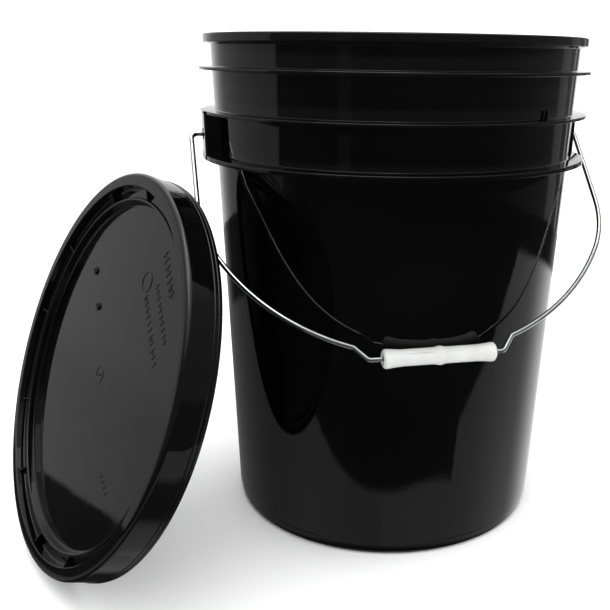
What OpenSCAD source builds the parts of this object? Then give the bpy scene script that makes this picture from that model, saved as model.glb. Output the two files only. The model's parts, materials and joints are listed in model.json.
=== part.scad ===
// Plastic fermenting bucket with its press-on lid and wire bail handle.
// The bucket stands on its base, the bail hangs in front with the grip by the wall,
// and the lid stands on its edge at the left and leans towards the bucket.
// X is the axis that the bail turns on, -Y is the front, Z is up.
// The origin is the centre of the bucket's base.

/* [Bucket] */
// Height from the base to the top of the rim
bucket_h = 396; // [300:1:450]
// Outer diameter of the rim lip
rim_d = 302; // [260:0.5:340]
// Outer diameter of the wall at its top
wall_top_d = 291; // [250:0.5:330]
// Outer diameter of the wall at its base
wall_base_d = 273; // [230:0.5:320]
// Thickness of the wall
wall_t = 2.4; // [1.5:0.1:4]
// Height of the rim lip
rim_h = 6.5; // [4:0.5:10]
// Thickness of the bottom
floor_t = 3; // [2:0.1:5]
// Height of the foot below the step in the wall
foot_h = 10; // [5:0.5:20]

/* [Flanges] */
// Outer diameter of the top flange
flange_1_d = 310; // [290:0.5:340]
// Outer diameter of the middle flange
flange_2_d = 309; // [290:0.5:340]
// Outer diameter of the bottom flange
flange_3_d = 311; // [290:0.5:340]
// Height of the top flange's upper face
flange_1_z = 372.5; // [300:0.5:400]
// Height of the middle flange's upper face
flange_2_z = 341; // [280:0.5:380]
// Height of the bottom flange's upper face
flange_3_z = 308; // [250:0.5:350]
// Thickness of the top and middle flanges
flange_t = 2.2; // [1.5:0.1:4]
// Thickness of the bottom flange
flange_3_t = 3.4; // [2:0.1:6]

/* [Ears] */
// Height of the axis that the bail turns on
pivot_z = 322.7; // [300:0.1:360]
// Distance from the bucket's axis to an ear's outer face
ear_x = 154.4; // [150:0.1:165]
// Thickness of an ear's plate
ear_t = 2.6; // [1.5:0.1:5]
// Width of an ear from rib to rib
ear_w = 46; // [20:1:80]
// Thickness of an ear's ribs
ear_rib_t = 2.4; // [1.5:0.1:4]
// Diameter of the hole that the wire turns in
ear_hole_d = 4; // [2.5:0.01:6]
// Diameter of the collar round the hole
collar_d = 8.5; // [6:0.5:14]
// Height of the collar above the plate
collar_h = 0.6; // [0.3:0.1:4]

/* [Bail] */
// Diameter of the wire
wire_d = 3.9; // [2.5:0.01:5.9]
// Distance from the bucket's axis to a leg of the bail
bail_half_w = 163.7; // [158:0.1:180]
// Length of a leg's straight stretch
bail_leg = 72; // [20:1:120]
// Bend radius between a leg and the bow
bail_shoulder_r = 91; // [40:1:140]
// Distance from the pivot axis to the deepest point of the bow
bail_bow = 205.8; // [170:0.1:260]
// Sideways offset of the bow's deepest point
bail_bow_x = -5.5; // [-15:0.5:15]
// Distance from the pivot axis to the grip's axis
bail_drop = 206.5; // [170:0.1:260]
// Bend radius where a leg turns into the ear
bail_corner_r = 5; // [3:0.5:12]

/* [Grip] */
// Length of the grip
grip_l = 86; // [60:1:130]
// Diameter of the grip's body
grip_d = 12.5; // [8:0.1:25]
// Diameter of the ridge round the grip's middle
grip_mid_d = 14.2; // [8:0.1:28]
// Diameter of the flared ends
grip_end_d = 14.6; // [9:0.1:30]
// Running clearance of the wire in the grip, on the radius
grip_fit = 0.08; // [0.02:0.01:0.5]
// Gap between the grip and the bucket's wall
grip_gap = 0.6; // [0.3:0.1:3]

/* [Lid] */
// Outer diameter of the lid's skirt
lid_d = 312; // [300:0.5:340]
// Height of the lid from the skirt's edge to its top
lid_h = 26; // [15:0.5:40]
// Thickness of the lid's walls
lid_t = 2.2; // [1.5:0.1:4]
// Depth of the panel below the top of the chimb
panel_drop = 11.8; // [8:0.1:20]
// Radius of the flat panel
panel_r = 133.4; // [120:0.1:140]
// Outer radius of the ridge round the panel
ridge_r = 138; // [125:0.1:142]
// Depth of the ridge's top below the top of the chimb
ridge_drop = 5.5; // [1:0.1:8]
// Outer radius of the plug that enters the bucket's mouth
plug_r = 142.4; // [130:0.1:143]
// Inner radius of the flat top of the chimb
chimb_r = 145.5; // [140:0.1:150]
// Number of pairs of ribs across the groove
rib_pairs = 6; // [2:1:24]
// Angle of the first pair of ribs
rib_turn = 11.3; // [0:0.1:89]
// Angle between the two ribs of a pair
rib_apart = 26.8; // [5:0.1:60]
// Thickness of the gasket
gasket_t = 2.2; // [1:0.1:5]

/* [Lid pose] */
// Sideways place of the centre of the lid's top
lid_x = -256.4; // [-400:0.1:-200]
// Front to back place of the centre of the lid's top
lid_y = -69.3; // [-200:0.1:200]
// Lean of the lid from upright
lid_lean = 22.5; // [5:0.5:60]
// Direction that the lid's top faces, round Z from +X
lid_turn = 201.4; // [90:0.1:270]
// Gap between the lid's lowest edge and the ground
lid_gap = 0.2; // [0:0.1:2]

/* [Hidden] */
rim_r = rim_d / 2;
wall_k = (wall_top_d - wall_base_d) / 2 / bucket_h;
wall_slope = atan(wall_k);
foot_step = 0.8;
foot_corner_r = 5;
foot_recess = 4;
foot_ring_w = 13;
rim_round = 1.6;
mouth_r = rim_r - 3.1;
mouth_flare = 7.2;
edge_round = 0.7;
wire_r = wire_d / 2;
pin_in = 148;
head_t = 1.6;
head_d = 7.4;
pocket_top = flange_2_z - flange_t;
ear_z0 = flange_3_z - flange_3_t;
tab_reach = 0.4;
ear_round = 3;
stop_places = [-58.5, -56.5];
stop_h = 6.5;
tab_x = ear_x + tab_reach;
joint_swell = 0.03;
joint_gap = 0.1;
grip_round = 2.4;
grip_cup = 4;
grip_cup_d = 10;
crank_in = 51.5;
crank_out = 61;
crank_shift = 1.5;
hang = asin((wall_base_d / 2 + wall_k * pivot_z + grip_mid_d / 2 + grip_gap)
    * cos(wall_slope) / bail_drop) - wall_slope;
lid_r = lid_d / 2;
bead_r = 0.8;
bead_places = [-20.4, -23.4];
skirt_in = lid_r - lid_t;
under_r = chimb_r + lid_t;
snap_r = rim_r - 0.4;
snap_z = -(lid_t + gasket_t + rim_h + 2.2);
chimb_out_r = 3.5;
chimb_edge_r = 0.8;
groove_floor = 7.4;
plug_reach = 5;
rib_t = 1.3;
lid_z = lid_r * cos(lid_lean) + lid_h * sin(lid_lean) + bead_r + lid_gap;
mark_h = 0.5;
insert_d = 6.4;
insert_places = [[96.2, 224.6], [60.5, 222.7]];
gate_d = 3;
gate_ring_d = 14;
fine = 180;
small = 40;

function wall_r(z) = wall_base_d / 2 + wall_k * z;

// Points along an arc of radius r about (x, y), from angle a to angle b in n steps
function arc_points(x, y, r, a, b, n) =
    [for (i = [0 : n]) [x + r * cos(a + (b - a) * i / n), y + r * sin(a + (b - a) * i / n)]];

// Radius of the bow's wide arc on one side, tangent to that side's shoulder arc
function bow_r(side) = let (
        h = bail_half_w - side * bail_bow_x - bail_shoulder_r,
        k = bail_bow - bail_leg
    ) (h * h + k * k - bail_shoulder_r * bail_shoulder_r) / (2 * (k - bail_shoulder_r));

// Angle, from the sideways direction, at which the shoulder arc meets the wide arc
function shoulder_angle(side) = atan2(
        bail_leg - (bail_bow - bow_r(side)),
        bail_half_w - side * bail_bow_x - bail_shoulder_r);

// Distance of the bow from the pivot axis at a sideways distance from its deepest point
function bow_drop(side, x) = bail_bow - bow_r(side) + sqrt(bow_r(side) * bow_r(side) - x * x);

module ring(r_in, r_out, z_low, z_high) {
    rotate_extrude($fn = fine)
        translate([r_in, z_low])
            square([r_out - r_in, z_high - z_low]);
}

// Outline of a flange on the wall, from its lower to its upper side, rounded at the edge
function flange_points(r, z_top, t) = concat(
    [[wall_r(z_top - t), z_top - t]],
    arc_points(r - edge_round, z_top - t + edge_round, edge_round, -90, 0, 4),
    arc_points(r - edge_round, z_top - edge_round, edge_round, 0, 90, 4),
    [[wall_r(z_top), z_top]]);

module bucket_shell() {
    base_r = wall_r(0) - foot_step;
    inner_base_r = wall_r(0) - wall_t;
    floor_top = floor_t + foot_recess;
    rotate_extrude($fn = fine)
        polygon(concat(
            [[0, foot_recess], [base_r - foot_ring_w - 2, foot_recess], [base_r - foot_ring_w, 0]],
            arc_points(base_r - foot_corner_r, foot_corner_r, foot_corner_r, -90, 0, 6),
            [[wall_r(foot_h) - foot_step, foot_h], [wall_r(foot_h + 1), foot_h + 1]],
            flange_points(flange_3_d / 2, flange_3_z, flange_3_t),
            flange_points(flange_2_d / 2, flange_2_z, flange_t),
            flange_points(flange_1_d / 2, flange_1_z, flange_t),
            [[wall_r(bucket_h - rim_h - 1), bucket_h - rim_h - 1], [rim_r - 1, bucket_h - rim_h]],
            arc_points(rim_r - edge_round, bucket_h - rim_h + edge_round, edge_round, -90, 0, 4),
            arc_points(rim_r - rim_round, bucket_h - rim_round, rim_round, 0, 90, 6),
            arc_points(mouth_r + 0.6, bucket_h - 0.6, 0.6, 90, 180, 4),
            [[mouth_r, bucket_h - 1.6], [wall_r(bucket_h - mouth_flare) - wall_t, bucket_h - mouth_flare]],
            arc_points(inner_base_r - 4.9, floor_top + 5, 5, 0, -90, 6),
            [[0, floor_top]]));
}

// The space inside the bucket's wall, widened by grow, at the height of the ears
module wall_core(grow) {
    z_low = ear_z0 - 20;
    z_high = bucket_h + 10;
    translate([0, 0, z_low])
        cylinder(r1 = wall_r(z_low) + grow, r2 = wall_r(z_high) + grow, h = z_high - z_low, $fn = fine);
}

// Block of one ear, with its widened flanges and collar, on the +X side
module ear_walls() {
    root_x = wall_r(ear_z0) - 6;
    difference() {
        union() {
            translate([0, 0, ear_z0 + 0.3])
                linear_extrude(flange_2_z - ear_z0 - 0.6)
                    polygon(concat(
                        [[root_x, -ear_w / 2]],
                        arc_points(ear_x - ear_round, -ear_w / 2 + ear_round, ear_round, -90, 0, 6),
                        arc_points(ear_x - ear_round, ear_w / 2 - ear_round, ear_round, 0, 90, 6),
                        [[root_x, ear_w / 2]]));
            for (tab = [[flange_2_z, flange_t], [flange_3_z, flange_3_t]])
                translate([root_x, -ear_w / 2 - tab_reach, tab[0] - tab[1] + 0.1])
                    cube([tab_x - root_x, ear_w + 2 * tab_reach, tab[1] - 0.2]);
            translate([ear_x - 1, 0, pivot_z])
                rotate([0, 90, 0])
                    cylinder(d = collar_d, h = collar_h + 1, $fn = small);
        }
        wall_core(-wall_t / 2);
    }
}

// Hollow behind the ear's plate, open below, and the hole for the wire
module ear_hollow() {
    difference() {
        translate([wall_r(pivot_z) - 12, -ear_w / 2 + ear_rib_t, ear_z0 - 1])
            cube([ear_x - ear_t - wall_r(pivot_z) + 12, ear_w - 2 * ear_rib_t, pocket_top - ear_z0]);
        wall_core(0.3);
    }
    translate([ear_x - ear_t - 1, 0, pivot_z])
        rotate([0, 90, 0])
            cylinder(d = ear_hole_d, h = ear_t + collar_h + 2, $fn = small);
}

// Two small ribs that stand on the middle flange
module stop_ribs() {
    for (turn = stop_places)
        rotate([0, 0, turn])
            translate([wall_r(flange_2_z) - 0.8, -0.5, flange_2_z - 0.2])
                cube([2, 1, stop_h + 0.2]);
}

module bucket_body() {
    color("#17181a")
        difference() {
            union() {
                bucket_shell();
                for (side = [0, 1])
                    mirror([side, 0, 0])
                        ear_walls();
                stop_ribs();
            }
            for (side = [0, 1])
                mirror([side, 0, 0])
                    ear_hollow();
        }
}

// A round wire along a straight line in the bail's plane, from point a to point b
module wire_line(a, b) {
    run = b - a;
    step = run * joint_gap / norm(run);
    translate([a[0] + step[0], 0, a[1] + step[1]])
        rotate([0, atan2(run[0], run[1]), 0])
            cylinder(r = wire_r, h = norm(run) - 2 * joint_gap, $fn = small);
}

// A round wire bent to radius r about point c, from angle a to angle b
module wire_arc(c, r, a, b) {
    trim = asin(joint_gap / r);
    translate([c[0], 0, c[1]])
        rotate([90, 0, 0])
            rotate([0, 0, a + trim])
                rotate_extrude(angle = b - a - 2 * trim, $fn = 240)
                    translate([r, 0])
                        circle(r = wire_r, $fn = small);
}

// A ball that joins two stretches of wire at point a
module wire_joint(a) {
    translate([a[0], 0, a[1]])
        sphere(r = wire_r + joint_swell, $fn = small);
}

// One half of the bail, drawn hanging straight down, on the side given by its sign
module bail_half(side) {
    tilt = shoulder_angle(side);
    big_r = bow_r(side);
    kink_x = crank_out - side * crank_shift;
    offset_x = abs(side * kink_x - bail_bow_x);
    leave = acos(offset_x / big_r);
    corner = [bail_half_w - bail_corner_r, -bail_corner_r];
    shoulder = [bail_half_w - bail_shoulder_r, -bail_leg];
    bow = [side * bail_bow_x, big_r - bail_bow];
    meet = shoulder + bail_shoulder_r * [cos(tilt), -sin(tilt)];
    kink = [kink_x, -bow_drop(side, offset_x)];
    grip_end = [crank_in - side * crank_shift, -bail_drop];
    mirror([side > 0 ? 0 : 1, 0, 0]) {
        translate([pin_in, 0, 0])
            rotate([0, 90, 0])
                cylinder(d = head_d, h = head_t, $fn = small);
        wire_line([pin_in + head_t - 2 * joint_gap, 0], [corner[0], 0]);
        wire_joint([corner[0], 0]);
        wire_arc(corner, bail_corner_r, 0, 90);
        wire_joint([bail_half_w, corner[1]]);
        wire_line([bail_half_w, corner[1]], [bail_half_w, -bail_leg]);
        wire_joint([bail_half_w, -bail_leg]);
        wire_arc(shoulder, bail_shoulder_r, -tilt, 0);
        wire_joint(meet);
        wire_arc(bow, big_r, -leave, -tilt);
        wire_joint(kink);
        wire_line(kink, grip_end);
        wire_joint(grip_end);
    }
}

module bail_wire() {
    color("#c9cdd1")
        translate([0, 0, pivot_z])
            rotate([-hang, 0, 0]) {
                bail_half(1);
                bail_half(-1);
                wire_line([-crank_in - crank_shift, -bail_drop], [crank_in - crank_shift, -bail_drop]);
            }
}

// Half of the grip's section, from the ridge in the middle out to the hollow end
function grip_half() = let (half = grip_l / 2, bore = wire_r + grip_fit) concat(
    [[grip_mid_d / 2, 1.4],
     [grip_d / 2 + 0.45, 3.2],
     [grip_d / 2, 5.2],
     [grip_d / 2, half - 14],
     [grip_d / 2 + 0.35, half - 9],
     [grip_end_d / 2 - 0.15, half - grip_round - 2]],
    arc_points(grip_end_d / 2 - grip_round, half - grip_round, grip_round, 0, 75, 6),
    [[grip_cup_d / 2 + 0.3, half],
     [grip_cup_d / 2, half - 0.3],
     [grip_cup_d / 2 - 0.4, half - grip_cup],
     [bore, half - grip_cup]]);

module bail_grip() {
    side = grip_half();
    color("#e9e9e4")
        translate([0, 0, pivot_z])
            rotate([-hang, 0, 0])
                translate([0, 0, -bail_drop])
                    rotate([0, 90, 0])
                        rotate_extrude($fn = 72)
                            polygon(concat(
                                [for (i = [len(side) - 1 : -1 : 0]) [side[i][0], -side[i][1]]],
                                side));
}

module lid_place() {
    translate([lid_x, lid_y, lid_z])
        rotate([0, 90 - lid_lean, lid_turn])
            children();
}

// Section of the lid's moulding, with the top of the chimb at height 0
module lid_section() {
    out_x = lid_r - chimb_out_r;
    plug_z = -groove_floor - lid_t;
    polygon(concat(
        [[0, -panel_drop], [panel_r, -panel_drop], [panel_r + 1.6, -panel_drop + 0.8]],
        arc_points(ridge_r - 1.2, -ridge_drop - 1.2, 1.2, 180, 0, 8),
        [[ridge_r, -groove_floor + 0.4], [ridge_r + 0.4, -groove_floor],
         [chimb_r - 1.6, -groove_floor], [chimb_r - 0.2, -groove_floor + 1.6]],
        arc_points(chimb_r + chimb_edge_r, -chimb_edge_r, chimb_edge_r, 180, 90, 4),
        arc_points(out_x, -chimb_out_r, chimb_out_r, 90, 0, 8),
        [[lid_r, -lid_h + 0.8], [lid_r - 0.8, -lid_h], [skirt_in + 0.6, -lid_h],
         [skirt_in, -lid_h + 0.6], [skirt_in, snap_z - 1.8], [snap_r, snap_z],
         [skirt_in, snap_z + 1.4]],
        arc_points(out_x, -chimb_out_r, chimb_out_r - lid_t, 0, 90, 5),
        [[under_r, -lid_t], [under_r - 0.2, plug_z + 4], [plug_r, plug_z - 1.4],
         [plug_r, plug_z - plug_reach + 0.8], [plug_r - 0.8, plug_z - plug_reach],
         [plug_r - 1.6, plug_z - plug_reach], [plug_r - 2.4, plug_z - plug_reach + 0.8],
         [plug_r - 2.6, plug_z], [ridge_r + 0.4, plug_z],
         [ridge_r - 0.4, plug_z - 0.8], [ridge_r - 1.2, -panel_drop - lid_t + 0.6],
         [ridge_r - 1.8, -panel_drop - lid_t], [0, -panel_drop - lid_t]]));
}

module lid_bead(z) {
    translate([0, 0, z])
        rotate_extrude($fn = fine)
            translate([lid_r - 0.3, 0])
                circle(r = bead_r, $fn = 24);
}

// Ribs across the groove, from the chimb down to the ridge
module lid_ribs() {
    low = -groove_floor - 0.6;
    for (i = [0 : rib_pairs - 1])
        for (side = [-1, 1])
            rotate([0, 0, rib_turn + 360 / rib_pairs * i + side * rib_apart / 2])
                translate([0, rib_t / 2, 0])
                    rotate([90, 0, 0])
                        linear_extrude(rib_t)
                            polygon([[ridge_r - 1.2, low], [ridge_r - 1.2, -ridge_drop - 0.7],
                                [chimb_r + 0.8, -2.2], [chimb_r + 0.8, low + 2],
                                [chimb_r - 1, low]]);
}

// A raised round with a straight side wall and a hollow top, standing on the panel
module panel_ring(d_out, d_in) {
    translate([0, 0, -panel_drop - 0.2])
        difference() {
            cylinder(d = d_out, h = mark_h + 0.2, $fn = small);
            translate([0, 0, 0.3])
                cylinder(d = d_in, h = mark_h, $fn = small);
        }
}

// Moulded marks on the panel: the gate inside its shallow ring, and two round inserts
module lid_marks() {
    translate([0, 0, -panel_drop - 0.2])
        cylinder(d1 = gate_d, d2 = gate_d / 2, h = mark_h + 0.4, $fn = small);
    panel_ring(gate_ring_d, gate_ring_d - 1.6);
    for (place = insert_places)
        rotate([0, 0, place[1]])
            translate([place[0], 0, 0])
                panel_ring(insert_d, insert_d - 2.2);
}

module lid_shell() {
    color("#1b1c1e")
        lid_place() {
            rotate_extrude($fn = fine)
                lid_section();
            for (z = bead_places)
                lid_bead(z);
            lid_ribs();
            lid_marks();
        }
}

module lid_gasket() {
    color("#3c3d3f")
        lid_place()
            ring(under_r + 0.4, skirt_in - 2, -lid_t - gasket_t, -lid_t);
}

// Piece to draw

bucket_body();
bail_wire();
bail_grip();
lid_shell();
lid_gasket();
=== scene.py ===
# Plastic fermenting bucket with its lid and wire bail, in Blender 4.5.
# Metres, in the CAD frame: X is the bail's axis, -Y the front, Z up, origin under the bucket.
# The helpers below work in millimetres, like part.scad, and put_mesh() converts to metres.
import bpy
import bmesh
import json
import math
import random
from math import acos, asin, atan2, cos, degrees, hypot, pi, radians, sin, sqrt
from mathutils import Matrix, Vector


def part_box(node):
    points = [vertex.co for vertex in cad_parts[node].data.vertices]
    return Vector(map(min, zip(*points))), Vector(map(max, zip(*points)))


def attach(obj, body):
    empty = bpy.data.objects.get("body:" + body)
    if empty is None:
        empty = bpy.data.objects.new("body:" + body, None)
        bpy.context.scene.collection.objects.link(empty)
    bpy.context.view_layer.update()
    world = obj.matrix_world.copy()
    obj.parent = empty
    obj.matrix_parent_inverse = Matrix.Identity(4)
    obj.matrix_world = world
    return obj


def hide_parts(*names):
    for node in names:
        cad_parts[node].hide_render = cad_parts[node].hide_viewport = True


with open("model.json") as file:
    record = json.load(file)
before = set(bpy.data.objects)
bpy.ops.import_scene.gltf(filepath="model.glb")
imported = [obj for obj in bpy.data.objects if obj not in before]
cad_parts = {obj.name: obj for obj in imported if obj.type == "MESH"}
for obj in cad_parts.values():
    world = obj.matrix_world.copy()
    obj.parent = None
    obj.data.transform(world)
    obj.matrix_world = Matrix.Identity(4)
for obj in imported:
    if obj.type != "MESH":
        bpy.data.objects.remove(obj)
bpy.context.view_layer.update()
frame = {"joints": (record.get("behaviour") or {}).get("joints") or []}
JOINTS = {joint["name"]: joint for joint in frame["joints"]}
MM = 0.001

# ---------------------------------------------------------------- sizes, in mm
BUCKET_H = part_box("bucket_body")[1].z / MM
WALL_BASE_R = 136.5
WALL_TOP_R = 145.5
WALL_K = (WALL_TOP_R - WALL_BASE_R) / BUCKET_H
WALL_T = 2.4
RIM_R = 151.0
RIM_H = 6.5
FLOOR_T = 3.0
FOOT_H = 10.0
FOOT_STEP = 0.8
FOOT_RECESS = 4.0
FOOT_RING_W = 13.0
# Outer radius, height of the upper face and thickness of each flange
FLANGES = ((155.5, 308.0, 3.4), (154.5, 341.0, 2.2), (155.0, 372.5, 2.2))
EAR_X = 154.4
EAR_T = 2.6
EAR_W = 46.0
EAR_RIB_T = 2.4
EAR_HOLE_R = 2.0
EAR_ROUND = 3.0
COLLAR_R = 4.25
COLLAR_H = 0.6
TAB_REACH = 0.4
# Turn of the two small ribs on the middle flange, and their height
STOPS = (-58.5, -56.5)
STOP_H = 6.5
MOUTH_R = RIM_R - 3.1
MOUTH_FLARE = 7.2

PIVOT_Z = JOINTS["bail_swing"]["pos_m"][2] / MM
GRIP_Y = JOINTS["grip_spin"]["pos_m"][1] / MM
GRIP_Z = JOINTS["grip_spin"]["pos_m"][2] / MM
BAIL_HANG = atan2(-GRIP_Y, PIVOT_Z - GRIP_Z)
BAIL_DROP = hypot(GRIP_Y, PIVOT_Z - GRIP_Z)
WIRE_R = 1.95
BAIL_HALF_W = 163.7
BAIL_LEG = 72.0
SHOULDER_R = 91.0
BAIL_BOW = 205.8
BAIL_BOW_X = -5.5
BAIL_CORNER_R = 5.0
CRANK_IN = 51.5
CRANK_OUT = 61.0
CRANK_SHIFT = 1.5
CRANK_BEND_R = 5.0
PIN_IN = 148.0
HEAD_T = 1.6
HEAD_R = 3.7

GRIP_L = 86.0
GRIP_R = 6.25
GRIP_MID_R = 7.1
GRIP_END_R = 7.3
GRIP_CUP = 4.0
GRIP_CUP_R = 5.0
GRIP_BORE_R = WIRE_R + 0.08

LID_R = 156.0
LID_H = 26.0
LID_T = 2.2
PANEL_DROP = 11.8
PANEL_R = 133.4
RIDGE_R = 138.0
RIDGE_DROP = 5.5
PLUG_R = 142.4
GROOVE_FLOOR = 7.4
PLUG_REACH = 5.0
CHIMB_R = 145.5
CHIMB_OUT_R = 3.5
UNDER_R = CHIMB_R + LID_T
RIB_PAIRS = 6
RIB_TURN = 11.3
RIB_APART = 26.8
RIB_T = 1.3
BEAD_R = 0.8
BEADS = (-20.4, -23.4)
GASKET_T = 2.2
LID_LEAN = 22.5
LID_TURN = 201.4
LID_GAP = 0.2
LID_X = -256.4
LID_Y = -69.3
LID_Z = LID_R * cos(radians(LID_LEAN)) + LID_H * sin(radians(LID_LEAN)) + BEAD_R + LID_GAP
# Radius and turn of the two round inserts in the lid's panel, and their own radius and height
INSERTS = ((96.2, 224.6), (60.5, 222.7))
INSERT_R = 3.2
INSERT_H = 1.2
# Radius of the gate in the middle of the panel, and of the shallow ring round it
GATE_R = 1.6
HALO_R = 7.0
# Rows of marks on the panel: where each starts, across to the right and up from the middle,
# how many there are, how tall and how far apart
MARK_ROWS = ((40.0, 73.0, 11, 5.6, 5.9), (53.0, 84.0, 10, 5.0, 5.4), (51.0, 107.5, 7, 7.5, 6.0))
MARK_RING = (34.0, 83.0)
MARK_TURN = -40.0
MARK_RISE = 0.42
MARK_RING_R = 8.2
# The short row lower on the panel: its start, how many bars, and the step across and down
LOW_ROW = (57.0, -60.5)
LOW_BARS = 4
LOW_STEP = (5.0, -2.4)

LATHE_STEPS = 384
SMOOTH_ANGLE = radians(32)

BAIL_PLACE = Matrix.Translation((0, 0, PIVOT_Z)) @ Matrix.Rotation(-BAIL_HANG, 4, "X")
LID_PLACE = (Matrix.Translation((LID_X, LID_Y, LID_Z))
             @ Matrix.Rotation(radians(LID_TURN), 4, "Z")
             @ Matrix.Rotation(radians(90 - LID_LEAN), 4, "Y"))


def wall_r(z):
    return WALL_BASE_R + WALL_K * z


# ---------------------------------------------------------------- mesh helpers
def arc(x, y, r, a, b, steps):
    """Points along an arc of radius r about (x, y), from angle a to b in degrees."""
    turns = [radians(a + (b - a) * i / steps) for i in range(steps + 1)]
    return [(x + r * cos(t), y + r * sin(t)) for t in turns]


def rounded(corners, steps=5):
    """Path through (x, y, radius) corners, each corner rounded by an arc of its radius."""
    path = []
    for i, (x, y, r) in enumerate(corners):
        if r <= 0 or i in (0, len(corners) - 1):
            path.append((x, y))
            continue
        here = Vector((x, y))
        back = Vector(corners[i - 1][:2]) - here
        on = Vector(corners[i + 1][:2]) - here
        half = back.angle(on) / 2
        reach = min(r / math.tan(half), 0.49 * back.length, 0.49 * on.length)
        r = reach * math.tan(half)
        middle = here + (back.normalized() + on.normalized()).normalized() * (r / sin(half))
        start = here + back.normalized() * reach - middle
        end = here + on.normalized() * reach - middle
        swing = start.angle_signed(end)
        for k in range(steps + 1):
            spoke = start.copy()
            spoke.rotate(Matrix.Rotation(-swing * k / steps, 2))
            path.append(tuple(middle + spoke))
    return path


def put_mesh(name, mesh, place=Matrix.Identity(4)):
    """An object from a mesh in millimetres, put in place and turned into metres."""
    mesh.transform(Matrix.Scale(MM, 4) @ place)
    mesh.update()
    piece = bpy.data.objects.new(name, mesh)
    bpy.context.scene.collection.objects.link(piece)
    return piece


def smooth(piece, angle=SMOOTH_ANGLE):
    """Smooth shading, with edges sharper than the angle kept sharp."""
    piece.data.shade_smooth()
    piece.data.set_sharp_from_angle(angle=angle)
    return piece


def finer(path, longest):
    """The path with its long stretches cut into pieces no longer than longest."""
    out = [path[0]]
    for a, b in zip(path, path[1:]):
        cuts = max(1, math.ceil(hypot(b[0] - a[0], b[1] - a[1]) / longest))
        out += [(a[0] + (b[0] - a[0]) * k / cuts, a[1] + (b[1] - a[1]) * k / cuts)
                for k in range(1, cuts + 1)]
    return out


def lathe_mesh(name, path, steps=LATHE_STEPS, closed=False):
    """Revolves a path of (radius, height) about Z. UV: u is the turn, v the length along."""
    mesh = bmesh.new()
    layer = mesh.loops.layers.uv.new("turn")
    rings, lengths = [], [0.0]
    if closed:
        path = path + path[:1]
    for a, b in zip(path, path[1:]):
        lengths.append(lengths[-1] + hypot(b[0] - a[0], b[1] - a[1]))
    for r, z in path[:-1] if closed else path:
        if r < 1e-6:
            rings.append([mesh.verts.new((0, 0, z))] * steps)
        else:
            rings.append([mesh.verts.new((r * cos(2 * pi * k / steps), r * sin(2 * pi * k / steps), z))
                          for k in range(steps)])
    if closed:
        rings.append(rings[0])
    for i in range(len(rings) - 1):
        low, high = rings[i], rings[i + 1]
        for k in range(steps):
            n = (k + 1) % steps
            spots = [(low[k], k, i), (low[n], k + 1, i), (high[n], k + 1, i + 1), (high[k], k, i + 1)]
            kept = []
            for spot in spots:
                if all(spot[0] is not other[0] for other in kept):
                    kept.append(spot)
            if len(kept) < 3:
                continue
            face = mesh.faces.new([spot[0] for spot in kept])
            for loop, spot in zip(face.loops, kept):
                loop[layer].uv = (spot[1] / steps, lengths[spot[2]] * MM)
    bmesh.ops.recalc_face_normals(mesh, faces=mesh.faces)
    data = bpy.data.meshes.new(name)
    mesh.to_mesh(data)
    mesh.free()
    return data


def plate_mesh(name, outline, low, high, bevel=0.35):
    """A flat plate: an outline in X and Y, from height low to high, with rounded edges."""
    mesh = bmesh.new()
    verts = [mesh.verts.new((x, y, low)) for x, y in outline]
    face = mesh.faces.new(verts)
    grown = bmesh.ops.extrude_face_region(mesh, geom=[face])
    for item in grown["geom"]:
        if isinstance(item, bmesh.types.BMVert):
            item.co.z = high
    bmesh.ops.recalc_face_normals(mesh, faces=mesh.faces)
    if bevel > 0:
        bmesh.ops.bevel(mesh, geom=mesh.edges[:], offset=bevel, segments=2, affect="EDGES",
                        clamp_overlap=True)
    mesh.loops.layers.uv.new("turn")
    data = bpy.data.meshes.new(name)
    mesh.to_mesh(data)
    mesh.free()
    return data


def box_mesh(name, low, high, bevel=0.35):
    """A box between two corners, with rounded edges."""
    outline = [(low[0], low[1]), (high[0], low[1]), (high[0], high[1]), (low[0], high[1])]
    return plate_mesh(name, outline, low[2], high[2], bevel)


def joined(name, meshes):
    """One mesh made of several, as separate shells."""
    whole = bmesh.new()
    whole.loops.layers.uv.new("turn")
    for mesh in meshes:
        whole.from_mesh(mesh)
        bpy.data.meshes.remove(mesh)
    data = bpy.data.meshes.new(name)
    whole.to_mesh(data)
    whole.free()
    return data


def cut(mesh, tools):
    """The mesh with other meshes cut from it."""
    work = bpy.data.objects.new("work", mesh)
    bpy.context.scene.collection.objects.link(work)
    helpers = []
    for tool in tools:
        helper = bpy.data.objects.new("tool", tool)
        bpy.context.scene.collection.objects.link(helper)
        helpers.append(helper)
        step = work.modifiers.new("cut", "BOOLEAN")
        step.object = helper
        step.operation = "DIFFERENCE"
        step.solver = "MANIFOLD"
    bpy.context.view_layer.update()
    shown = work.evaluated_get(bpy.context.evaluated_depsgraph_get())
    result = bpy.data.meshes.new_from_object(shown)
    for item in helpers + [work]:
        data = item.data
        bpy.data.objects.remove(item)
        bpy.data.meshes.remove(data)
    return result


def turned(mesh, angle):
    """The mesh turned about Z, by degrees."""
    mesh.transform(Matrix.Rotation(radians(angle), 4, "Z"))
    return mesh


# ---------------------------------------------------------------- materials
def add(tree, kind, inputs=None, **settings):
    """A node with its settings, and its inputs linked or set."""
    item = tree.nodes.new(kind)
    for key, value in settings.items():
        setattr(item, key, value)
    for key, value in (inputs or {}).items():
        if isinstance(value, bpy.types.NodeSocket):
            tree.links.new(value, item.inputs[key])
        else:
            item.inputs[key].default_value = value
    return item


def maths(tree, operation, *values, clamp=False):
    """A maths node's output."""
    item = tree.nodes.new("ShaderNodeMath")
    item.operation = operation
    item.use_clamp = clamp
    for i, value in enumerate(values):
        if isinstance(value, bpy.types.NodeSocket):
            tree.links.new(value, item.inputs[i])
        else:
            item.inputs[i].default_value = value
    return item.outputs[0]


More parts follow.
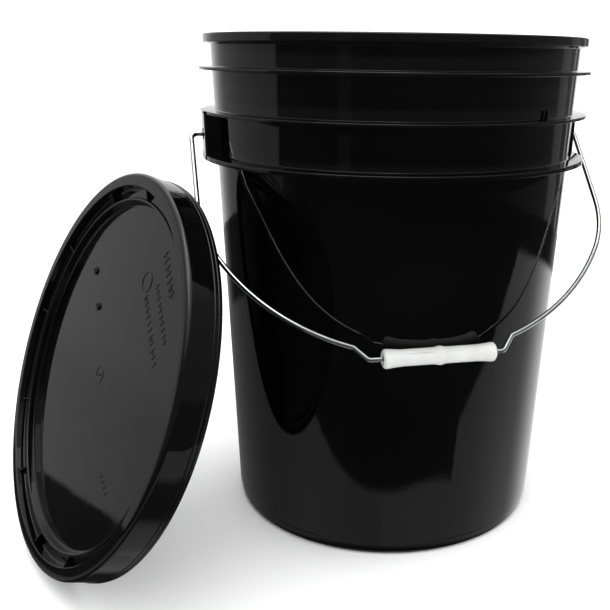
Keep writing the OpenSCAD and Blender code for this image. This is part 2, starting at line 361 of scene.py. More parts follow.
def ramp(tree, value, low, high, start=0.0, end=1.0, kind="SMOOTHSTEP"):
    """The value's range low to high turned into start to end."""
    item = add(tree, "ShaderNodeMapRange", {"Value": value, "From Min": low, "From Max": high,
                                            "To Min": start, "To Max": end},
               interpolation_type=kind)
    return item.outputs["Result"]


def blend_value(tree, factor, a, b):
    """From a to b as the factor goes from 0 to 1."""
    item = add(tree, "ShaderNodeMix", {0: factor, 2: a, 3: b}, data_type="FLOAT")
    return item.outputs[0]


def blend_colour(tree, factor, a, b):
    """From colour a to colour b as the factor goes from 0 to 1."""
    item = tree.nodes.new("ShaderNodeMix")
    item.data_type = "RGBA"
    for index, value in ((0, factor), (6, a), (7, b)):
        if isinstance(value, bpy.types.NodeSocket):
            tree.links.new(value, item.inputs[index])
        else:
            item.inputs[index].default_value = value
    return item.outputs[2]


def noise(tree, vector, scale, detail=3.0, rough=0.5):
    """A noise texture's value."""
    item = add(tree, "ShaderNodeTexNoise", {"Vector": vector, "Scale": scale, "Detail": detail,
                                            "Roughness": rough})
    return item.outputs["Fac"]


def bump(tree, height, distance, under=None):
    """A normal raised by height times distance, on top of another."""
    values = {"Height": height, "Distance": distance, "Strength": 1.0}
    if under is not None:
        values["Normal"] = under
    return add(tree, "ShaderNodeBump", values).outputs["Normal"]


def new_material(name):
    """An empty material with its shader linked to the output."""
    material = bpy.data.materials.new(name)
    material.use_nodes = True
    tree = material.node_tree
    tree.nodes.clear()
    shader = tree.nodes.new("ShaderNodeBsdfPrincipled")
    output = tree.nodes.new("ShaderNodeOutputMaterial")
    tree.links.new(shader.outputs[0], output.inputs["Surface"])
    return material, tree, shader


def turn_coordinates(tree, across, along):
    """Seamless coordinates round a turned piece: a ring of radius across, and along its height."""
    uv = add(tree, "ShaderNodeUVMap", uv_map="turn").outputs[0]
    split = add(tree, "ShaderNodeSeparateXYZ", {0: uv})
    angle = maths(tree, "MULTIPLY", split.outputs["X"], 2 * pi)
    x = maths(tree, "MULTIPLY", maths(tree, "COSINE", angle), across)
    y = maths(tree, "MULTIPLY", maths(tree, "SINE", angle), across)
    z = maths(tree, "MULTIPLY", split.outputs["Y"], along)
    return add(tree, "ShaderNodeCombineXYZ", {0: x, 1: y, 2: z}).outputs[0]


def black_plastic(name, base, gloss, spread, streaks, wave, drawn):
    """Glossy moulded black plastic: roughness and its spread, and the depth of waves and streaks."""
    material, tree, shader = new_material(name)
    spot = add(tree, "ShaderNodeTexCoord").outputs["Object"]
    cloud = noise(tree, spot, 9.0, 4.0)
    fine = noise(tree, spot, 260.0, 2.0)
    scuffs = noise(tree, spot, 55.0, 6.0, 0.7)
    flow = noise(tree, turn_coordinates(tree, streaks[0], streaks[1]), 1.0, 4.0, 0.6)
    dark = (base * 0.75, base * 0.75, base * 0.8, 1)
    light = (base * 1.35, base * 1.33, base * 1.35, 1)
    colour = blend_colour(tree, ramp(tree, cloud, 0.3, 0.7), dark, light)
    dust = ramp(tree, scuffs, 0.66, 0.8)
    colour = blend_colour(tree, maths(tree, "MULTIPLY", dust, 0.12), colour, (0.05, 0.05, 0.052, 1))
    tree.links.new(colour, shader.inputs["Base Color"])
    rough = maths(tree, "MULTIPLY_ADD", ramp(tree, flow, 0.3, 0.75), spread, gloss)
    rough = maths(tree, "MULTIPLY_ADD", ramp(tree, scuffs, 0.55, 0.75), spread * 0.8, rough)
    tree.links.new(rough, shader.inputs["Roughness"])
    waves = bump(tree, noise(tree, spot, 14.0, 1.0), wave)
    draw = bump(tree, flow, drawn, waves)
    peel = bump(tree, fine, 0.000006, draw)
    tree.links.new(peel, shader.inputs["Normal"])
    shader.inputs["IOR"].default_value = 1.5
    return material


def wire_metal(name):
    """Bright zinc-plated drawn wire, with marks along its length."""
    material, tree, shader = new_material(name)
    spot = add(tree, "ShaderNodeTexCoord").outputs["Object"]
    drawn = noise(tree, turn_coordinates(tree, 3.0, 14.0), 1.0, 4.0, 0.65)
    cloud = noise(tree, spot, 160.0, 3.0)
    colour = blend_colour(tree, ramp(tree, cloud, 0.35, 0.7), (0.74, 0.75, 0.76, 1),
                          (0.62, 0.625, 0.63, 1))
    tree.links.new(colour, shader.inputs["Base Color"])
    shader.inputs["Metallic"].default_value = 1.0
    rough = ramp(tree, drawn, 0.3, 0.7, 0.08, 0.2)
    tree.links.new(rough, shader.inputs["Roughness"])
    lines = bump(tree, drawn, 0.00004)
    tree.links.new(bump(tree, cloud, 0.00001, lines), shader.inputs["Normal"])
    return material


def white_plastic(name):
    """White polyethylene of the grip, a little soft and a little handled."""
    material, tree, shader = new_material(name)
    spot = add(tree, "ShaderNodeTexCoord").outputs["Object"]
    cloud = noise(tree, spot, 45.0, 4.0)
    handled = noise(tree, spot, 260.0, 5.0, 0.65)
    colour = blend_colour(tree, ramp(tree, cloud, 0.3, 0.75), (0.56, 0.565, 0.56, 1),
                          (0.49, 0.495, 0.49, 1))
    colour = blend_colour(tree, maths(tree, "MULTIPLY", ramp(tree, handled, 0.62, 0.8), 0.25),
                          colour, (0.5, 0.49, 0.46, 1))
    tree.links.new(colour, shader.inputs["Base Color"])
    tree.links.new(ramp(tree, cloud, 0.3, 0.7, 0.3, 0.42), shader.inputs["Roughness"])
    shader.inputs["Subsurface Weight"].default_value = 0.12
    shader.inputs["Subsurface Radius"].default_value = (0.003, 0.0028, 0.0026)
    shader.inputs["Subsurface Scale"].default_value = 0.5
    soft = bump(tree, noise(tree, spot, 90.0, 2.0), 0.00015)
    grain = bump(tree, noise(tree, spot, 1500.0, 2.0), 0.00002, soft)
    tree.links.new(grain, shader.inputs["Normal"])
    return material


def rubber(name):
    """Matt foamed gasket."""
    material, tree, shader = new_material(name)
    spot = add(tree, "ShaderNodeTexCoord").outputs["Object"]
    cells = add(tree, "ShaderNodeTexVoronoi", {"Vector": spot, "Scale": 1400.0}).outputs["Distance"]
    cloud = noise(tree, spot, 120.0, 4.0)
    colour = blend_colour(tree, cloud, (0.05, 0.05, 0.052, 1), (0.085, 0.085, 0.086, 1))
    tree.links.new(colour, shader.inputs["Base Color"])
    tree.links.new(ramp(tree, cloud, 0.3, 0.7, 0.78, 0.92), shader.inputs["Roughness"])
    tree.links.new(bump(tree, cells, 0.00025), shader.inputs["Normal"])
    return material


def pale_floor(name):
    """Pale, barely clouded paper."""
    material, tree, shader = new_material(name)
    spot = add(tree, "ShaderNodeTexCoord").outputs["Object"]
    cloud = noise(tree, spot, 2.0, 3.0)
    colour = blend_colour(tree, cloud, (0.94, 0.94, 0.94, 1), (0.97, 0.97, 0.97, 1))
    tree.links.new(colour, shader.inputs["Base Color"])
    shader.inputs["Roughness"].default_value = 0.85
    shader.inputs["Specular IOR Level"].default_value = 0.2
    return material


BUCKET_PLASTIC = black_plastic("bucket_plastic", 0.0014, 0.025, 0.035, (22.0, 1.2), 0.00012, 0.00002)
LID_PLASTIC = black_plastic("lid_plastic", 0.002, 0.02, 0.03, (9.0, 6.0), 0.00008, 0.000006)
WIRE = wire_metal("wire_steel")
GRIP_PLASTIC = white_plastic("grip_plastic")
GASKET = rubber("gasket_rubber")
FLOOR = pale_floor("floor")


# ---------------------------------------------------------------- bucket
def bucket_path():
    """Section of the bucket, from the middle of its underside round to the inside."""
    base_r = wall_r(0) - FOOT_STEP
    floor_top = FLOOR_T + FOOT_RECESS
    corners = [(0, FOOT_RECESS, 0), (base_r - FOOT_RING_W - 2, FOOT_RECESS, 1.2),
               (base_r - FOOT_RING_W, 0, 1.0), (base_r, 0, 5.0),
               (wall_r(FOOT_H) - FOOT_STEP, FOOT_H, 0.5), (wall_r(FOOT_H + 1), FOOT_H + 1, 0.7)]
    for r, z, t in FLANGES:
        corners += [(wall_r(z - t), z - t, 0.9), (r, z - t, 0.25), (r, z, 0.8), (wall_r(z), z, 1.2)]
    rim_low = BUCKET_H - RIM_H
    corners += [(wall_r(rim_low - 1), rim_low - 1, 0.8), (RIM_R - 1, rim_low, 0.2),
                (RIM_R, rim_low + 0.6, 0.4), (RIM_R, BUCKET_H, 1.6),
                (MOUTH_R, BUCKET_H, 0.7), (MOUTH_R, BUCKET_H - 1.6, 1.0),
                (wall_r(BUCKET_H - MOUTH_FLARE) - WALL_T, BUCKET_H - MOUTH_FLARE, 3.0),
                (wall_r(0) - WALL_T, floor_top, 5.0), (0, floor_top, 0)]
    return finer(rounded(corners), 12.0)


def ear_pocket():
    """Space behind an ear's plate, open below, on the +X side."""
    low, high = FLANGES[0][1] - FLANGES[0][2] - 1, FLANGES[1][1] - FLANGES[1][2]
    half = EAR_W / 2 - EAR_RIB_T
    steps = 24
    mesh = bmesh.new()
    ends = []
    for z in (low, high):
        r = wall_r(z) + 0.3
        turns = [asin(half / r) * (2 * k / steps - 1) for k in range(steps + 1)]
        ring = [mesh.verts.new((r * cos(t), r * sin(t), z)) for t in turns]
        ring += [mesh.verts.new((EAR_X - EAR_T, half, z)), mesh.verts.new((EAR_X - EAR_T, -half, z))]
        ends.append(ring)
    mesh.faces.new(ends[0])
    mesh.faces.new(ends[1])
    for k in range(len(ends[0])):
        n = (k + 1) % len(ends[0])
        mesh.faces.new((ends[0][k], ends[0][n], ends[1][n], ends[1][k]))
    bmesh.ops.recalc_face_normals(mesh, faces=mesh.faces)
    mesh.loops.layers.uv.new("turn")
    data = bpy.data.meshes.new("pocket")
    mesh.to_mesh(data)
    mesh.free()
    return data


def ear_meshes():
    """Block, widened flanges and collar of one ear, on the +X side."""
    low_top, low_t = FLANGES[0][1], FLANGES[0][2]
    high_top, high_t = FLANGES[1][1], FLANGES[1][2]
    base = low_top - low_t
    half = EAR_W / 2
    root = wall_r(base) - 1.0
    swing = degrees(asin(half / root))
    outline = arc(0, 0, root, swing, -swing, 16)
    outline += arc(EAR_X - EAR_ROUND, EAR_ROUND - half, EAR_ROUND, -90, 0, 8)
    outline += arc(EAR_X - EAR_ROUND, half - EAR_ROUND, EAR_ROUND, 0, 90, 8)
    block = plate_mesh("ear", outline, base + 0.3, high_top - 0.3, 0)
    hole = lathe_mesh("hole", [(0, 0), (EAR_HOLE_R, 0), (EAR_HOLE_R, 12), (0, 12)], 48)
    hole.transform(Matrix.Translation((EAR_X - 8, 0, PIVOT_Z)) @ Matrix.Rotation(pi / 2, 4, "Y"))
    block = cut(block, [ear_pocket(), hole])
    collar = lathe_mesh("collar", rounded([(EAR_HOLE_R, -0.4, 0), (EAR_HOLE_R, COLLAR_H, 0.2),
                                           (COLLAR_R - 0.1, COLLAR_H, 0.25), (COLLAR_R, -0.4, 0)], 3),
                        64, closed=True)
    collar.transform(Matrix.Translation((EAR_X, 0, PIVOT_Z)) @ Matrix.Rotation(pi / 2, 4, "Y"))
    parts = [block, collar]
    tab_x = EAR_X + TAB_REACH
    tab_y = half + TAB_REACH
    for top, t in ((low_top, low_t), (high_top, high_t)):
        inner = sqrt(wall_r(top) ** 2 - tab_y ** 2) - 1.5
        outline = rounded([(inner, 0, 0), (inner, -tab_y, 0), (tab_x, -tab_y, 2.4), (tab_x, 0, 0)], 5)
        outline += [(x, -y) for x, y in reversed(outline)]
        outline = [p for i, p in enumerate(outline) if p != outline[i - 1]]
        tab = plate_mesh("tab", outline, top - t + 0.1, top - 0.1, 0.45)
        if top == low_top:
            tab = cut(tab, [ear_pocket()])
        parts.append(tab)
    return parts


def stop_mesh(turn):
    """Small rib that stands on the middle flange."""
    z, x = FLANGES[1][1], wall_r(FLANGES[1][1])
    return turned(box_mesh("stop", (x - 0.8, -0.5, z - 0.2), (x + 1.2, 0.5, z + STOP_H), 0.4), turn)


def build_bucket():
    shell = lathe_mesh("shell", bucket_path())
    shell = cut(shell, [ear_pocket(), turned(ear_pocket(), 180)])
    parts = [shell]
    for turn in (0, 180):
        parts += [turned(mesh, turn) for mesh in ear_meshes()]
    parts += [stop_mesh(turn) for turn in STOPS]
    piece = smooth(put_mesh("bucket", joined("bucket", parts)))
    piece.data.materials.append(BUCKET_PLASTIC)
    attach(piece, "bucket")
    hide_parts("bucket_body")


# ---------------------------------------------------------------- bail
def bow_r(side):
    """Radius of the bail's bow, which meets the shoulder's arc on this side."""
    h = BAIL_HALF_W - side * BAIL_BOW_X - SHOULDER_R
    k = BAIL_BOW - BAIL_LEG
    return (h * h + k * k - SHOULDER_R ** 2) / (2 * (k - SHOULDER_R))


def half_bail(side):
    """Path of one half of the wire, from its head to the middle, in the bail's own plane."""
    big = bow_r(side)
    tilt = atan2(BAIL_LEG - (BAIL_BOW - big), BAIL_HALF_W - side * BAIL_BOW_X - SHOULDER_R)
    kink_x = CRANK_OUT - side * CRANK_SHIFT
    out = abs(side * kink_x - BAIL_BOW_X)
    leave = acos(out / big)
    kink = (kink_x, -(BAIL_BOW - big + sqrt(big * big - out * out)))
    path = [(PIN_IN + HEAD_T - 0.2, 0)]
    path += arc(BAIL_HALF_W - BAIL_CORNER_R, -BAIL_CORNER_R, BAIL_CORNER_R, 90, 0, 12)
    path += arc(BAIL_HALF_W - SHOULDER_R, -BAIL_LEG, SHOULDER_R, 0, -degrees(tilt), 50)
    path += arc(side * BAIL_BOW_X, big - BAIL_BOW, big, -degrees(tilt), -degrees(leave), 60)[1:-1]
    bend = [(*path[-1], 0), (*kink, CRANK_BEND_R),
            (CRANK_IN - side * CRANK_SHIFT, -BAIL_DROP, CRANK_BEND_R), (0, -BAIL_DROP, 0)]
    path += rounded(bend, 8)[1:]
    return finer([(side * x, z) for x, z in path], 4.0)


def tube_mesh(name, path, radius, sides=28):
    """A round wire along a path in the XZ plane. UV: u is the turn, v the length along."""
    mesh = bmesh.new()
    layer = mesh.loops.layers.uv.new("turn")
    rings, lengths = [], [0.0]
    across = Vector((0, 1, 0))
    points = [Vector((x, 0, z)) for x, z in path]
    for i, point in enumerate(points):
        ahead = (points[min(i + 1, len(points) - 1)] - points[max(i - 1, 0)]).normalized()
        out = ahead.cross(across)
        rings.append([mesh.verts.new(point + radius * (cos(2 * pi * k / sides) * out
                                                      + sin(2 * pi * k / sides) * across))
                      for k in range(sides)])
        if i:
            lengths.append(lengths[-1] + (point - points[i - 1]).length)
    for i in range(len(rings) - 1):
        for k in range(sides):
            n = (k + 1) % sides
            face = mesh.faces.new((rings[i][k], rings[i][n], rings[i + 1][n], rings[i + 1][k]))
            spots = ((k, i), (k + 1, i), (k + 1, i + 1), (k, i + 1))
            for loop, (turn, step) in zip(face.loops, spots):
                loop[layer].uv = (turn / sides, lengths[step] * MM)
    mesh.faces.new(rings[0])
    mesh.faces.new(rings[-1])
    bmesh.ops.recalc_face_normals(mesh, faces=mesh.faces)
    data = bpy.data.meshes.new(name)
    mesh.to_mesh(data)
    mesh.free()
    return data


def build_bail():
    path = half_bail(-1)
    path += list(reversed(half_bail(1)))[1:]
    parts = [tube_mesh("wire", path, WIRE_R)]
    for side in (-1, 1):
        head = lathe_mesh("head", rounded([(0, 0, 0), (HEAD_R, 0, 0.5), (HEAD_R, HEAD_T, 0.5),
                                           (0, HEAD_T, 0)], 4), 48)
        head.transform(Matrix.Translation((side * PIN_IN, 0, 0)) @ Matrix.Rotation(side * pi / 2, 4, "Y"))
        parts.append(head)
    piece = smooth(put_mesh("bail", joined("bail", parts), BAIL_PLACE), radians(50))
    piece.data.materials.append(WIRE)
    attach(piece, "bail")
    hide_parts("bail_wire")


def build_grip():
    half = GRIP_L / 2
    side = [(GRIP_MID_R, 0.9, 0.8), (GRIP_MID_R - 0.3, 2.2, 1.5), (GRIP_R + 0.15, 3.6, 2.0),
            (GRIP_R, 6.0, 6.0), (GRIP_R, half - 15, 12.0), (GRIP_R + 0.4, half - 8.5, 8.0),
            (GRIP_END_R - 0.1, half - 4.2, 4.0), (GRIP_END_R - 0.1, half - 1.4, 1.3),
            (GRIP_END_R - 1.9, half, 1.2), (GRIP_CUP_R + 0.1, half, 0.4),
            (GRIP_CUP_R - 0.4, half - GRIP_CUP, 0.4), (GRIP_BORE_R, half - GRIP_CUP, 0)]
    corners = [(r, -z, round_r) for r, z, round_r in reversed(side)] + side
    shape = lathe_mesh("grip", finer(rounded(corners, 4), 6.0), 96, closed=True)
    parts = [shape]
    for y in (-1, 1):
        seam = box_mesh("seam", (GRIP_R - 0.6, -0.18, 8 - half), (GRIP_R + 0.12, 0.18, half - 16), 0.08)
        parts.append(turned(seam, 90 * y))
    for y in (-1, 1):
        seam = box_mesh("seam", (GRIP_R - 0.6, -0.18, 16 - half), (GRIP_R + 0.12, 0.18, -4), 0.08)
        parts.append(turned(seam, 90 * y))
    place = BAIL_PLACE @ Matrix.Translation((0, 0, -BAIL_DROP)) @ Matrix.Rotation(pi / 2, 4, "Y")
    piece = smooth(put_mesh("grip", joined("grip", parts), place), radians(40))
    piece.data.materials.append(GRIP_PLASTIC)
    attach(piece, "grip")
    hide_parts("bail_grip")


# ---------------------------------------------------------------- lid
def lid_path():
    """Section of the lid, from the middle of its top round to the middle underneath."""
    out_x = LID_R - CHIMB_OUT_R
    skirt_in = LID_R - LID_T
    plug_z = -GROOVE_FLOOR - LID_T
    plug_end = plug_z - PLUG_REACH
    lip_z = -(LID_T + GASKET_T + RIM_H + 2.2)
    top = rounded([(0, -PANEL_DROP, 0), (PANEL_R, -PANEL_DROP, 1.0),
                   (PANEL_R + 1.6, -PANEL_DROP + 0.8, 0.6),
                   (RIDGE_R - 2.4, -RIDGE_DROP, 1.15), (RIDGE_R, -RIDGE_DROP, 1.15),
                   (RIDGE_R, -GROOVE_FLOOR, 0.6), (CHIMB_R - 0.2, -GROOVE_FLOOR, 1.2),
                   (CHIMB_R, 0, 0.7), (CHIMB_R + 2, 0, 0)], 6)
    outer = arc(out_x, -CHIMB_OUT_R, CHIMB_OUT_R, 90, 0, 12)
    skirt = rounded([(LID_R, -CHIMB_OUT_R - 0.2, 0), (LID_R, -LID_H, 0.8), (skirt_in, -LID_H, 0.6),
                     (skirt_in, lip_z - 2.4, 1.0), (RIM_R - 0.4, lip_z, 1.2), (skirt_in, lip_z + 2.0, 1.0),
                     (skirt_in, -CHIMB_OUT_R, 0)], 5)
    under = arc(out_x, -CHIMB_OUT_R, CHIMB_OUT_R - LID_T, 0, 90, 6)[1:]
    plug = rounded([(UNDER_R + 1, -LID_T, 0), (UNDER_R, -LID_T, 0.4), (UNDER_R - 0.2, plug_z + 4, 1.5),
                    (PLUG_R, plug_z - 1.4, 1.0), (PLUG_R, plug_end, 0.8), (PLUG_R - 2.4, plug_end, 0.8),
                    (PLUG_R - 2.6, plug_z, 0.5), (RIDGE_R, plug_z, 0.7),
                    (RIDGE_R - 1.4, -PANEL_DROP - LID_T, 0.7), (0, -PANEL_DROP - LID_T, 0)], 4)
    return finer(top + outer + skirt[:-1] + under + plug, 14.0)


def lid_trim():
    """Beads on the skirt, ribs across the groove, the gate and the two inserts."""
    parts = []
    for z in BEADS:
        parts.append(lathe_mesh("bead", arc(LID_R - 0.3, z, BEAD_R, 0, 330, 11), closed=True))
    low = -GROOVE_FLOOR - 0.6
    section = [(RIDGE_R - 1.2, low), (CHIMB_R - 1, low), (CHIMB_R + 0.8, low + 2),
               (CHIMB_R + 0.8, -2.2), (RIDGE_R - 1.2, -RIDGE_DROP - 0.7)]
    for i in range(RIB_PAIRS):
        for side in (-1, 1):
            rib = plate_mesh("rib", section, -RIB_T / 2, RIB_T / 2, 0.3)
            rib.transform(Matrix.Rotation(pi / 2, 4, "X"))
            parts.append(turned(rib, RIB_TURN + 360 / RIB_PAIRS * i + side * RIB_APART / 2))
    gate = rounded([(0, -0.6, 0), (GATE_R, -0.6, 0), (GATE_R - 0.4, 0.6, 0.3),
                    (GATE_R - 1.1, 0.68, 0.2), (0, 0.4, 0)], 3)
    halo = rounded([(HALO_R, -0.3, 0), (HALO_R, 0.35, 0.3), (HALO_R - 0.9, 0.35, 0.3),
                    (HALO_R - 1.2, -0.3, 0)], 3)
    for mesh in (lathe_mesh("gate", gate, 48), lathe_mesh("halo", halo, 72, closed=True)):
        mesh.transform(Matrix.Translation((0, 0, -PANEL_DROP)))
        parts.append(mesh)
    for r, turn in INSERTS:
        ring = rounded([(0, -0.5, 0), (INSERT_R, -0.5, 0), (INSERT_R, INSERT_H, 0.3),
                        (INSERT_R - 0.7, INSERT_H, 0.3), (INSERT_R - 0.8, 0.12, 0.1), (0, 0.12, 0)], 3)
        insert = lathe_mesh("insert", ring, 48)
        pointer = box_mesh("pointer", (-0.6, -2.2, -0.2), (0.6, 2.2, 0.9), 0.2)
        for mesh in (insert, pointer):
            mesh.transform(Matrix.Translation((r, 0, -PANEL_DROP)))
            parts.append(turned(mesh, turn))
    return parts


def lid_marks():
    """Generic moulded marks: a ring, and rows of short plain bars."""
    rng = random.Random(7)
    parts = []
    # Across is local +Y and up is local -X; rows run at this angle from across
    run = radians(MARK_TURN)
    along = Vector((-sin(run), cos(run)))

    def spot(a, b):
        return Vector((-b, a))

    def bar(middle, length, width, angle):
        mesh = box_mesh("bar", (-width / 2, -length / 2, -0.2), (width / 2, length / 2, MARK_RISE), 0.1)
        mesh.transform(Matrix.Translation((middle.x, middle.y, -PANEL_DROP))
                       @ Matrix.Rotation(angle, 4, "Z"))
        parts.append(mesh)

    face = atan2(along.y, along.x) - pi / 2
    for a, b, count, height, gap in MARK_ROWS:
        for k in range(count):
            middle = spot(a, b) + along * (gap * k)
            kind = rng.choice("lunr")
            bar(middle, 1.1, height, face)
            if kind in "ur":
                bar(middle + along * 1.7, 3.2, 1.0, face)
            if kind == "n":
                bar(middle + along * 2.4, 1.1, height * 0.6, face)
    section = [(MARK_RING_R, -0.2, 0), (MARK_RING_R, MARK_RISE, 0.1),
               (MARK_RING_R - 1.2, MARK_RISE, 0.1), (MARK_RING_R - 1.2, -0.2, 0)]
    ring = lathe_mesh("ring", rounded(section, 2), 64, closed=True)
    centre = spot(*MARK_RING)
    ring.transform(Matrix.Translation((centre.x, centre.y, -PANEL_DROP)))
    parts.append(ring)
    for k in range(LOW_BARS):
        bar(spot(LOW_ROW[0] + LOW_STEP[0] * k, LOW_ROW[1] + LOW_STEP[1] * k), 1.1, 3.8, face)
    return parts


def build_lid():
    parts = [lathe_mesh("lid", lid_path())] + lid_trim() + lid_marks()
    piece = smooth(put_mesh("lid", joined("lid", parts), LID_PLACE))
    piece.data.materials.append(LID_PLASTIC)
    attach(piece, "lid")
    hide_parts("lid_shell")


def build_gasket():
    inner, outer = UNDER_R + 0.4, LID_R - LID_T - 2
    top = -LID_T
    corners = [(inner + 1, top, 0), (inner, top, 0.3), (inner, top - GASKET_T, 0.7),
               (outer, top - GASKET_T, 0.7), (outer, top, 0.3), (inner + 1.1, top, 0)]
    mesh = lathe_mesh("gasket", rounded(corners, 5), closed=True)
    piece = smooth(put_mesh("gasket", mesh, LID_PLACE), radians(60))
    piece.data.materials.append(GASKET)
    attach(piece, "lid")
    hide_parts("lid_gasket")


# ---------------------------------------------------------------- camera and light
# The camera stands in front, at this distance and height from the middle of the base.
CAM_DISTANCE = 0.69886
CAM_HEIGHT = 0.38349
CAM_PITCH = 0.38012
CAM_ROLL = 0.01416
CAM_YAW = -0.03590
# Turn of the bail's axis from the picture plane
EAR_TURN = radians(15.34)
CAM_LENS = 47.672
CAM_SHIFT_X = -0.08728
CAM_SHIFT_Y = 0.11569
FRONT = Vector((-sin(EAR_TURN), -cos(EAR_TURN), 0))


def build_camera():
    data = bpy.data.cameras.new("camera")
    data.sensor_width = 36.0
    data.sensor_fit = "HORIZONTAL"
    data.lens = CAM_LENS
    data.shift_x = CAM_SHIFT_X
    data.shift_y = CAM_SHIFT_Y
    data.clip_start = 0.01
    camera = bpy.data.objects.new("camera", data)
    bpy.context.scene.collection.objects.link(camera)
    place = FRONT * CAM_DISTANCE + Vector((0, 0, CAM_HEIGHT))
    camera.matrix_world = (Matrix.Translation(place)
                           @ Matrix.Rotation(-(CAM_YAW + EAR_TURN), 4, "Z")
                           @ Matrix.Rotation(pi / 2 - CAM_PITCH, 4, "X")
                           @ Matrix.Rotation(CAM_ROLL, 4, "Z"))
    bpy.context.scene.camera = camera


# Brightness of the white studio, as diffuse light and as the background
STUDIO_WHITE = 1.7
# Heights in degrees: top of the dark band on the walls, and of the dark shape straight ahead
BAND_TOP = -11.35
SHAPE_TOP = -32.6
# The soft light over the set
TOP_PLACE = (-0.3, -0.3, 1.9)
TOP_AIM = (0, 0, 0.2)
TOP_SIZE = 1.2
TOP_POWER = 9.0
# Half the floor's width, in metres
FLOOR_HALF = 4.0


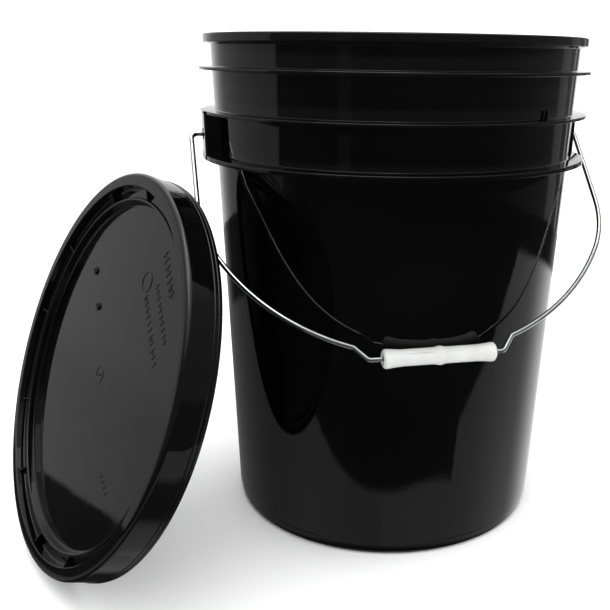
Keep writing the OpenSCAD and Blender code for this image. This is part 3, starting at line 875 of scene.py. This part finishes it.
def build_world():
    """A white studio for diffuse light and the background, and softboxes for reflections."""
    world = bpy.data.worlds.new("studio")
    bpy.context.scene.world = world
    world.use_nodes = True
    tree = world.node_tree
    tree.nodes.clear()
    way = add(tree, "ShaderNodeTexCoord").outputs["Generated"]
    turned_way = add(tree, "ShaderNodeVectorRotate", {"Vector": way, "Angle": pi / 2 + EAR_TURN},
                     rotation_type="Z_AXIS").outputs[0]
    split = add(tree, "ShaderNodeSeparateXYZ", {0: turned_way})
    x, y, up = split.outputs
    # Azimuth in degrees from the front, positive to the camera's right
    azimuth = maths(tree, "MULTIPLY", maths(tree, "ARCTAN2", y, x), degrees(1))
    off = maths(tree, "ABSOLUTE", azimuth)
    height = maths(tree, "MULTIPLY", maths(tree, "ARCSINE", up), degrees(1))
    left = maths(tree, "LESS_THAN", azimuth, 0.0)

    def stripe(value, low, high, soft):
        rise = ramp(tree, value, low - soft, low + soft)
        return maths(tree, "MULTIPLY", rise, ramp(tree, value, high - soft, high + soft, 1.0, 0.0))

    # Walls of the studio: dim in front, lit at the left and behind
    front = ramp(tree, height, -6.0, -1.0, 0.04, 0.12)
    left_wall = maths(tree, "ADD", front, ramp(tree, off, 73.0, 74.4, 0.0, 0.28))
    left_wall = maths(tree, "ADD", left_wall, ramp(tree, off, 127.0, 155.0, 0.0, 0.6))
    left_wall = maths(tree, "MULTIPLY_ADD", stripe(off, 24.6, 32.6, 1.0), 0.04, left_wall)
    right_wall = maths(tree, "ADD", front, ramp(tree, off, 60.0, 100.0, 0.0, 0.04))
    right_wall = maths(tree, "MULTIPLY_ADD", stripe(off, 121.0, 134.0, 1.5), 0.14, right_wall)
    right_wall = maths(tree, "MULTIPLY_ADD", stripe(off, 142.5, 146.5, 0.8), 0.3, right_wall)
    right_wall = maths(tree, "ADD", right_wall, ramp(tree, off, 153.0, 156.0, 0.0, 0.95))
    walls = blend_value(tree, left, right_wall, left_wall)
    # A dark band at the foot of the walls, lit only behind
    band = ramp(tree, off, 135.0, 165.0, 0.03, 0.4)
    ragged = maths(tree, "MULTIPLY_ADD", noise(tree, way, 9.0, 3.0), 0.5, height)
    walls = blend_value(tree, ramp(tree, ragged, BAND_TOP, BAND_TOP + 0.25), band, walls)
    # The lit ground, hidden in front by the dark shape of whoever takes the picture
    reach = maths(tree, "POWER", maths(tree, "MULTIPLY", off, 1 / 78, clamp=True), 2.3)
    edge_left = maths(tree, "MULTIPLY_ADD", reach, 15.4, SHAPE_TOP)
    edge_right = ramp(tree, off, 0.0, 53.0, SHAPE_TOP, SHAPE_TOP + 1.4)
    for start, end, rise in ((53.0, 56.0, 4.4), (56.0, 75.0, 4.6), (75.0, 95.0, 8.0)):
        edge_right = maths(tree, "ADD", edge_right, ramp(tree, off, start, end, 0.0, rise, "LINEAR"))
    edge = blend_value(tree, left, edge_right, edge_left)
    floor_left = ramp(tree, off, 50.0, 100.0, 0.3, 0.17)
    floor_right = maths(tree, "ADD", ramp(tree, off, 60.0, 100.0, 0.36, 0.5),
                        ramp(tree, off, 110.0, 140.0, 0.0, 0.6))
    ground = blend_value(tree, left, floor_right, floor_left)
    ground = maths(tree, "MULTIPLY", ground, ramp(tree, height, -45.0, -38.5, 0.12, 1.0))
    ground = maths(tree, "ADD", ground, ramp(tree, height, -72.0, -62.0, 0.3, 0.0))
    over_edge = maths(tree, "SUBTRACT", height, edge)
    scene_light = blend_value(tree, ramp(tree, over_edge, -0.35, 0.35), ground, walls)
    # Soft ceiling
    scene_light = maths(tree, "ADD", scene_light, ramp(tree, height, 32.0, 56.0, 0.0, 0.8))
    rays = add(tree, "ShaderNodeLightPath")
    even = maths(tree, "MAXIMUM", rays.outputs["Is Camera Ray"], rays.outputs["Is Diffuse Ray"])
    strength = blend_value(tree, even, scene_light, STUDIO_WHITE)
    shown = add(tree, "ShaderNodeBackground", {"Color": (1, 1, 1, 1), "Strength": strength})
    output = tree.nodes.new("ShaderNodeOutputWorld")
    tree.links.new(shown.outputs[0], output.inputs["Surface"])


def build_floor():
    mesh = bpy.data.meshes.new("floor")
    half = FLOOR_HALF
    mesh.from_pydata([(-half, -half, 0), (half, -half, 0), (half, half, 0), (-half, half, 0)], [],
                     [(0, 1, 2, 3)])
    floor = bpy.data.objects.new("floor", mesh)
    bpy.context.scene.collection.objects.link(floor)
    mesh.materials.append(FLOOR)
    floor.visible_glossy = False


def area_light(name, place, aim, width, height, power):
    """A rectangular light aimed at a point."""
    data = bpy.data.lights.new(name, "AREA")
    data.shape = "RECTANGLE"
    data.size = width
    data.size_y = height
    data.energy = power
    light = bpy.data.objects.new(name, data)
    bpy.context.scene.collection.objects.link(light)
    way = Vector(aim) - Vector(place)
    light.matrix_world = Matrix.Translation(place) @ way.to_track_quat("-Z", "Y").to_matrix().to_4x4()


build_camera()
build_bucket()
build_bail()
build_grip()
build_lid()
build_gasket()
build_floor()
build_world()
area_light("top", TOP_PLACE, TOP_AIM, TOP_SIZE, TOP_SIZE, TOP_POWER)

scene = bpy.context.scene
scene.view_settings.view_transform = "Standard"
scene.view_settings.look = "None"
